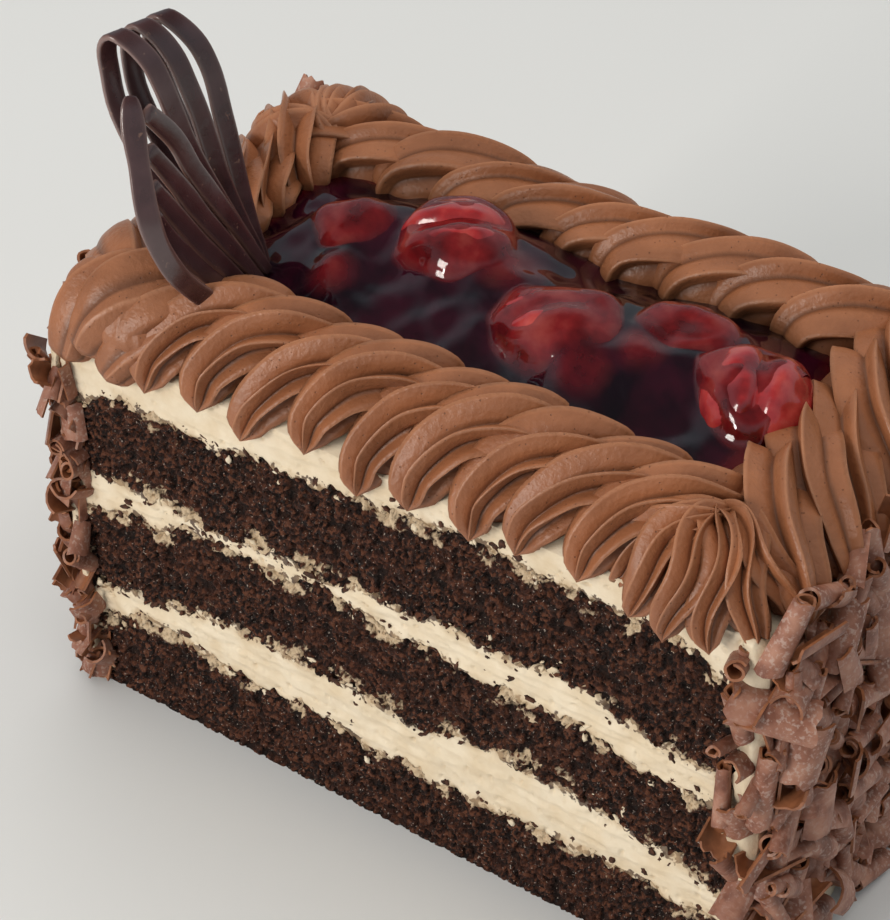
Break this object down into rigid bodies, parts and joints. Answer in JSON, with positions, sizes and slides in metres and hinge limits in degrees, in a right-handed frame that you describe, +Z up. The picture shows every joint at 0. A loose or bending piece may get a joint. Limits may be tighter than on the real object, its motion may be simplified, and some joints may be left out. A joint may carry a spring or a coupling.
{
  "type": "black forest cake slice",
  "caption": "Layered chocolate and cream cake portion with a piped buttercream border, a pool of cherries, curl-coated ends and a chocolate fan.",
  "frame": {"origin": "centre of the flat bottom of the cake", "axes": "+X along the cut face from left to right, +Y from the front cut face to the back one, +Z up"},
  "size_m": [0.1401, 0.0789, 0.1206],
  "materials": {
    "sponge": "open dark crumb, moist",
    "cream": "whipped cream, soft satin",
    "curls": "milk chocolate curls with a dusty bloom",
    "buttercream": "piped chocolate buttercream, soft satin",
    "gel": "set cherry gel, wet gloss",
    "cherry": "stoned cherry under gel, wet gloss",
    "dark_chocolate": "dark chocolate, satin"
  },
  "bodies": {
    "root": {"sponge_bottom": "sponge", "cream_lower": "cream", "sponge_middle": "sponge", "cream_upper": "cream", "sponge_top": "sponge", "cream_top": "cream", "coat_left": "curls", "coat_right": "curls", "border": "buttercream", "cherry_gel": "gel", "cherry_1": "cherry", "cherry_2": "cherry", "cherry_3": "cherry", "cherry_4": "cherry", "cherry_5": "cherry", "fan_back": "dark_chocolate", "fan_front": "dark_chocolate"}
  },
  "joints": []
}
